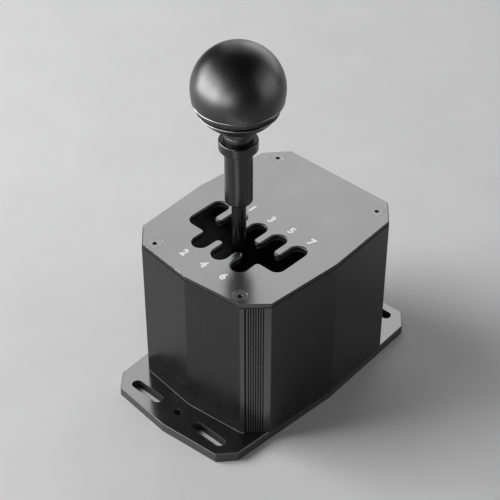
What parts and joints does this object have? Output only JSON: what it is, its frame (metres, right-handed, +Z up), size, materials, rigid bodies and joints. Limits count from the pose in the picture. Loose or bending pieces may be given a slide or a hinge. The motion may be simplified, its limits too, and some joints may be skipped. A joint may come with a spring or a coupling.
{
  "type": "sim racing gear shifter",
  "caption": "Upright ball-topped lever on a two-axis pivot, guided by a slotted H-pattern gate plate on a faceted box housing with a slotted base plate.",
  "frame": {"origin": "middle of the four mounting slots, on the underside of the base plate", "axes": "+X to the driver's right, +Y away from the driver, +Z up"},
  "size_m": [0.106, 0.1691, 0.227],
  "materials": {
    "plate_metal": "satin blasted and anodised",
    "black_anodised": "satin black anodised",
    "black_rubber": "matt",
    "black_plastic": "satin",
    "ivory_plastic": "satin",
    "board_green": "lacquered",
    "screw_steel": "plated",
    "zinc_steel": "zinc plated",
    "bright_steel": "ground",
    "spring_steel": "oiled",
    "black_steel": "black oxide",
    "cast_alloy": "cast",
    "brass": "turned"
  },
  "bodies": {
    "frame": {"base_plate": "plate_metal", "rear_shell": "black_anodised", "front_panel": "black_anodised", "gate_plate": "plate_metal", "gate_damper": "black_rubber", "gate_screws": "screw_steel", "base_screws": "screw_steel", "pivot_bracket": "zinc_steel", "bracket_screws": "screw_steel", "bearing_left": "bright_steel", "bearing_right": "bright_steel", "detent_spring": "spring_steel", "detent_clamp": "zinc_steel", "detent_screws": "screw_steel", "shift_sensor_board": "board_green", "shift_sensor_posts": "brass", "shift_sensor_screws": "screw_steel", "main_board": "board_green", "board_posts": "brass", "board_screws": "screw_steel", "main_chip": "black_plastic", "lead_sockets": "ivory_plastic", "usb_socket": "bright_steel"},
    "yoke": {"yoke": "cast_alloy", "axle_left": "bright_steel", "axle_right": "bright_steel", "detent_cam": "zinc_steel", "cam_spacer": "bright_steel", "cam_clip": "spring_steel", "bush_front": "brass", "bush_rear": "brass", "centring_spring": "spring_steel", "shift_magnet": "bright_steel", "select_sensor_board": "board_green", "select_sensor_posts": "brass", "select_sensor_screws": "screw_steel"},
    "lever": {"select_shaft": "bright_steel", "shaft_clip": "spring_steel", "select_magnet": "bright_steel", "lever_hub": "zinc_steel", "rod_nut": "zinc_steel", "lever_rod": "black_steel", "lever_sleeve": "black_anodised", "lock_collar": "black_anodised", "knob_base": "black_plastic", "knob_band": "black_plastic", "knob_shell": "black_plastic", "knob_core": "black_plastic", "knob_insert": "brass"}
  },
  "joints": [
    {"name": "shift", "type": "hinge", "parent": "frame", "child": "yoke", "pos_m": [0, -0.022, 0.024], "axis": [-1, 0, 0], "range_deg": [-11.2, 11.2], "deforming": ["detent_spring"]},
    {"name": "select", "type": "hinge", "parent": "yoke", "child": "lever", "pos_m": [0, -0.022, 0.024], "axis": [0, 1, 0], "range_deg": [-10.95, 10.95], "stiffness_Nm_per_rad": 2.5, "deforming": ["centring_spring"]}
  ]
}
